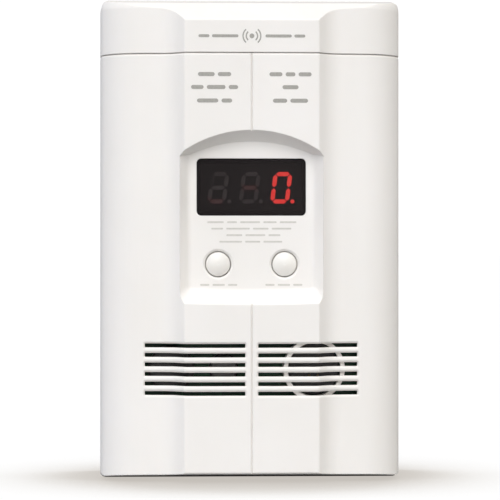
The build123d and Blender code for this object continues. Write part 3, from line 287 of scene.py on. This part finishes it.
# plain two-tone battery jacket: dark body, copper-coloured end band, fine metallic flake
battery_mat, nt, p = material("battery_jacket")
sep = add(nt, "ShaderNodeSeparateXYZ")
nt.links.new(coords(nt), sep.inputs[0])
band = maths(nt, "GREATER_THAN", sep.outputs[0], 0.0105)
flake = noise(nt, 2600.0, 2.0)
dark = ramp(nt, flake, [(0.3, (0.018, 0.019, 0.022)), (0.7, (0.032, 0.034, 0.038))])
copper = ramp(nt, flake, [(0.3, (0.42, 0.20, 0.09)), (0.7, (0.55, 0.28, 0.13))])
nt.links.new(mixed(nt, band, dark, copper), p.inputs["Base Color"])
nt.links.new(maths(nt, "MULTIPLY", band, 0.85), p.inputs["Metallic"])
nt.links.new(mapped(nt, noise(nt, 150.0), 0.26, 0.40), p.inputs["Roughness"])
nt.links.new(bump(nt, noise(nt, 60.0), 0.08, 0.0003, soft_edges(nt, 0.3 * MM)), p.inputs["Normal"])

# pad-printed ink
ink_mat, nt, p = material("printed_ink")
nt.links.new(ramp(nt, noise(nt, 1600.0, 3.0), [(0.35, srgb(158, 156, 150)), (0.65, srgb(170, 168, 161))]), p.inputs["Base Color"])
nt.links.new(mapped(nt, noise(nt, 900.0), 0.48, 0.62), p.inputs["Roughness"])
faint_mat, nt, p = material("printed_ink_faint")
nt.links.new(ramp(nt, noise(nt, 1600.0, 3.0), [(0.35, srgb(205, 202, 195)), (0.65, srgb(214, 211, 204))]), p.inputs["Base Color"])
nt.links.new(mapped(nt, noise(nt, 900.0), 0.48, 0.62), p.inputs["Roughness"])

finish_of = {
    "front_cover": shell, "back_cover": shell, "battery_door": shell, "battery_tray": tray_mat,
    "battery_case": battery_mat, "battery_terminals": nickel_mat, "battery_contacts": nickel_mat,
    "contact_block": black_mat, "red_lead": red_wire_mat, "black_lead": black_wire_mat,
    "display_window": window_mat, "led_display_body": display_mat, "display_gasket": foam_mat,
    "unlit_segments": seg_off, "lit_segments": seg_on,
    "test_button": button_mat, "peak_button": button_mat,
    "test_switch_plunger": black_mat, "peak_switch_plunger": black_mat, "switch_housings": black_mat,
    "circuit_board": board_mat, "board_screws": steel_mat, "case_screws": steel_mat,
    "electrolytic_capacitors": cap_mat, "chip_packages": chip_mat, "chip_components": ceramic_mat,
    "voltage_regulator": chip_mat, "horn_inductor": ferrite_mat,
    "horn_housing": grey_disc, "piezo_disc": disc_mat, "piezo_ceramic": ceramic_mat,
    "co_sensor_cell": cell_mat, "co_sensor_cap": black_mat, "gas_sensor_base": black_mat,
    "gas_sensor_can": can_mat, "gas_sensor_gauze": can_mat,
    "adapter_housing": adapter_mat, "adapter_lid": adapter_mat, "plug_blades": blade_mat,
    "transformer_core": laminate_mat, "transformer_winding": winding_mat,
    "board_contact_pins": brass_mat, "adapter_contact_sleeves": brass_mat,
}
for name, mat in finish_of.items():
    ob = nodes[name]
    if not ob.material_slots:
        ob.data.materials.append(mat)
    for s in ob.material_slots:
        s.material = mat

# ------------------------------------------------------------------ printed marks


class Ink:
    """Flat printed shapes facing -Y, gathered into one thin mesh. Sizes in millimetres."""

    def __init__(self, y, thick=0.03):
        self.bm = bmesh.new()
        self.y, self.thick = y, thick

    def outline(self, pts):
        y0, y1 = self.y * MM, (self.y - self.thick) * MM
        front = [self.bm.verts.new((x * MM, y1, z * MM)) for x, z in pts]
        rear = [self.bm.verts.new((x * MM, y0, z * MM)) for x, z in pts]
        self.bm.faces.new(front)
        self.bm.faces.new(list(reversed(rear)))
        n = len(pts)
        for i in range(n):
            self.bm.faces.new((front[i], rear[i], rear[(i + 1) % n], front[(i + 1) % n]))

    def bar(self, cx, cz, w, h, r=None, steps=6):
        r = h / 2 if r is None else r
        r = min(r, w / 2, h / 2)
        pts = []
        for qx, qz, a0 in ((1, 1, 0), (-1, 1, 90), (-1, -1, 180), (1, -1, 270)):
            for k in range(steps + 1):
                a = math.radians(a0 + 90 * k / steps)
                pts.append((cx + qx * (w / 2 - r) + r * math.cos(a), cz + qz * (h / 2 - r) + r * math.sin(a)))
        self.outline(pts)

    def disc(self, cx, cz, r, steps=28):
        self.outline([(cx + r * math.cos(2 * math.pi * k / steps), cz + r * math.sin(2 * math.pi * k / steps)) for k in range(steps)])

    def arc(self, cx, cz, r, w, a0, a1, steps=18):
        """A curved stroke, as short quads joined along the arc."""
        outer = [(cx + (r + w / 2) * math.cos(math.radians(a0 + (a1 - a0) * k / steps)),
                  cz + (r + w / 2) * math.sin(math.radians(a0 + (a1 - a0) * k / steps))) for k in range(steps + 1)]
        inner = [(cx + (r - w / 2) * math.cos(math.radians(a0 + (a1 - a0) * k / steps)),
                  cz + (r - w / 2) * math.sin(math.radians(a0 + (a1 - a0) * k / steps))) for k in range(steps + 1)]
        y0, y1 = self.y * MM, (self.y - self.thick) * MM
        of = [self.bm.verts.new((x * MM, y1, z * MM)) for x, z in outer]
        inf = [self.bm.verts.new((x * MM, y1, z * MM)) for x, z in inner]
        ob = [self.bm.verts.new((x * MM, y0, z * MM)) for x, z in outer]
        ib = [self.bm.verts.new((x * MM, y0, z * MM)) for x, z in inner]
        closed = abs(abs(a1 - a0) - 360) < 1e-6
        for k in range(steps):
            self.bm.faces.new((of[k], of[k + 1], inf[k + 1], inf[k]))
            self.bm.faces.new((ob[k + 1], ob[k], ib[k], ib[k + 1]))
            self.bm.faces.new((of[k + 1], of[k], ob[k], ob[k + 1]))
            self.bm.faces.new((inf[k], inf[k + 1], ib[k + 1], ib[k]))
        if not closed:
            self.bm.faces.new((of[0], inf[0], ib[0], ob[0]))
            self.bm.faces.new((inf[-1], of[-1], ob[-1], ib[-1]))

    def done(self, name, mat, body):
        bmesh.ops.remove_doubles(self.bm, verts=self.bm.verts, dist=1e-7)
        bmesh.ops.recalc_face_normals(self.bm, faces=self.bm.faces)
        me = bpy.data.meshes.new(name)
        self.bm.to_mesh(me)
        self.bm.free()
        ob = bpy.data.objects.new(name, me)
        scene.collection.objects.link(ob)
        me.materials.append(mat)
        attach(ob, body)
        return ob


front_y = -44.45
panel_y = -44.45 + 4.9


def line_of_bars(ink, cx, cz, total, parts, h):
    """A printed line made of plain bars with small spaces between them."""
    gap = 1.0
    unit = (total - gap * (len(parts) - 1)) / sum(parts)
    x = cx - total / 2
    for p_ in parts:
        ink.bar(x + p_ * unit / 2, cz, p_ * unit, h)
        x += p_ * unit + gap


# generic sound-wave mark and rules on the battery door
door_mark = Ink(front_y - 0.005)
door_mark.disc(0, 62.8, 0.75)
for r in (1.75, 2.75):
    door_mark.arc(0, 62.8, r, 0.42, -48, 48)
    door_mark.arc(0, 62.8, r, 0.42, 132, 228)
for side in (-1, 1):
    door_mark.bar(side * 8.3, 62.8, 8.2, 0.9)
    door_mark.bar(side * 14.9, 62.8, 3.4, 0.9)
door_mark.done("door_mark", ink_mat, "battery_door")

labels = Ink(front_y - 0.005)
for cx, lines_ in ((-11.6, ((10.3, (5, 4)), (14.6, (4, 6, 3)), (10.9, (6, 3)))),
                   (12.0, ((13.1, (4, 3, 4)), (5.0, (1,)), (10.9, (4, 5))))):
    for (w, parts), z in zip(lines_, (50.9, 46.9, 42.7)):
        line_of_bars(labels, cx, z, w, parts, 1.25)
labels.done("front_labels", ink_mat, "case")

fine = Ink(panel_y - 0.005)
for z, x0, x1, parts in ((5.0, -13.8, 14.1, (5, 3, 6, 4, 5)), (2.98, -12.5, 12.5, (3, 6, 4, 5)),
                         (0.94, -7.8, 9.1, (4, 5, 3)), (-1.1, -10.0, 9.7, (6, 4, 5))):
    line_of_bars(fine, (x0 + x1) / 2, z, x1 - x0, parts, 0.55)
for x0, x1 in ((-16.0, -4.4), (4.4, 16.0)):
    line_of_bars(fine, (x0 + x1) / 2, -14.6, x1 - x0, (3, 4, 3), 0.6)
fine.done("panel_small_print", faint_mat, "case")

# ------------------------------------------------------------------ stage, light, camera
floor_me = bpy.data.meshes.new("floor")
s = 40.0
z0 = cad_box[0][2] - 0.0001
floor_me.from_pydata([(-s, -s, z0), (s, -s, z0), (s, s, z0), (-s, s, z0)], [], [(0, 1, 2, 3)])
floor = bpy.data.objects.new("floor", floor_me)
scene.collection.objects.link(floor)
# a light table: white acrylic that glows a little; its glow is darkened by ambient occlusion around the alarm, a
# painted contact shadow
floor_mat, nt, p = material("light_table")
nt.links.new(ramp(nt, noise(nt, 12.0), [(0.3, (0.045, 0.045, 0.045)), (0.7, (0.055, 0.055, 0.055))]), p.inputs["Base Color"])
p.inputs["Roughness"].default_value = 0.9
p.inputs["Specular IOR Level"].default_value = 0.1
painted_shadow_ao = add(nt, "ShaderNodeAmbientOcclusion")
painted_shadow_ao.samples = 16
painted_shadow_ao.inputs["Distance"].default_value = 0.060
painted_shadow_levels = [(0.0, 0.555), (0.14, 0.575), (0.42, 0.58), (0.57, 0.59), (0.70, 0.627), (0.745, 0.686),
          (0.80, 0.755), (0.83, 0.847), (0.875, 0.90), (0.92, 0.945), (0.97, 1.0)]
# painted shadow: the glow colour follows the occlusion ramp, grey and warmer close to the alarm, white further out
nt.links.new(ramp(nt, painted_shadow_ao.outputs["AO"], [(at, tuple(min(v * (1 + (1 - v) * k), 1.0) for k in (0.11, -0.03, -0.20)))
                                           for at, v in painted_shadow_levels]), p.inputs["Emission Color"])
p.inputs["Emission Strength"].default_value = 0.95
paper = add(nt, "ShaderNodeBsdfDiffuse")
paper.inputs["Color"].default_value = (0.38, 0.38, 0.38, 1)
ray = add(nt, "ShaderNodeLightPath")
both = add(nt, "ShaderNodeMixShader")
nt.links.new(ray.outputs["Is Camera Ray"], both.inputs[0])
nt.links.new(paper.outputs[0], both.inputs[1])
nt.links.new(p.outputs[0], both.inputs[2])
nt.links.new(both.outputs[0], next(n for n in nt.nodes if n.type == "OUTPUT_MATERIAL").inputs[0])
floor_me.materials.append(floor_mat)

world = bpy.data.worlds.new("studio")
scene.world = world
world.use_nodes = True
wn = world.node_tree
wn.nodes.clear()
wo = wn.nodes.new("ShaderNodeOutputWorld")
seen = wn.nodes.new("ShaderNodeBackground")
seen.inputs[0].default_value = (1, 1, 1, 1)
seen.inputs[1].default_value = 1.05
# fill: brightest from in front and from the sides, weaker from behind, a little warmer from the right
fill = wn.nodes.new("ShaderNodeBackground")
way = wn.nodes.new("ShaderNodeTexCoord")
split = wn.nodes.new("ShaderNodeSeparateXYZ")
wn.links.new(way.outputs["Generated"], split.inputs[0])
front = maths(wn, "MAXIMUM", maths(wn, "MULTIPLY", split.outputs[1], -1.0), 0.0)
side = maths(wn, "ABSOLUTE", split.outputs[0])
level = maths(wn, "ADD", maths(wn, "MULTIPLY", maths(wn, "POWER", front, 2.0), 0.40), 0.38)
level = maths(wn, "ADD", level, maths(wn, "MULTIPLY", side, 0.38))
level = maths(wn, "SUBTRACT", level, maths(wn, "MULTIPLY", split.outputs[0], 0.09))
wn.links.new(level, fill.inputs[1])
tone = ramp(wn, mapped(wn, split.outputs[0], 0.0, 1.0, -1.0, 1.0), [(0.15, (0.925, 0.965, 1.08)), (0.5, (0.99, 0.98, 0.985)), (0.85, (1.0, 0.965, 0.915))])
wn.links.new(tone, fill.inputs[0])
path = wn.nodes.new("ShaderNodeLightPath")
mix = wn.nodes.new("ShaderNodeMixShader")
wn.links.new(path.outputs["Is Camera Ray"], mix.inputs[0])
wn.links.new(fill.outputs[0], mix.inputs[1])
wn.links.new(seen.outputs[0], mix.inputs[2])
wn.links.new(mix.outputs[0], wo.inputs[0])


# soft key from above in front and slightly to the left
key_d = bpy.data.lights.new("key", "SUN")
key_d.energy = 1.96
key_d.angle = math.radians(48)
key = bpy.data.objects.new("key", key_d)
scene.collection.objects.link(key)
el, az = math.radians(43), math.radians(-6)
source = Vector((math.sin(az) * math.cos(el), -math.cos(az) * math.cos(el), math.sin(el)))
key.location = source * 2
key.rotation_euler = (-source).to_track_quat("-Z", "Y").to_euler()

cam_d = bpy.data.cameras.new("camera")
cam = bpy.data.objects.new("camera", cam_d)
scene.collection.objects.link(cam)
scene.camera = cam
cam_d.sensor_width = 36.0
cam_d.lens = 162.3
cam_d.clip_start, cam_d.clip_end = 0.01, 50.0
yaw = math.radians(2.2)
reach = 0.700
aim = Vector((-0.0006, -0.04445, -0.0037))
look = Vector((math.sin(yaw), math.cos(yaw), 0))
cam.location = aim - look * reach
cam.rotation_euler = look.to_track_quat("-Z", "Y").to_euler()

scene.view_settings.view_transform = "Standard"
scene.view_settings.look = "None"
scene.view_settings.exposure = 0.0
scene.view_settings.gamma = 1.0
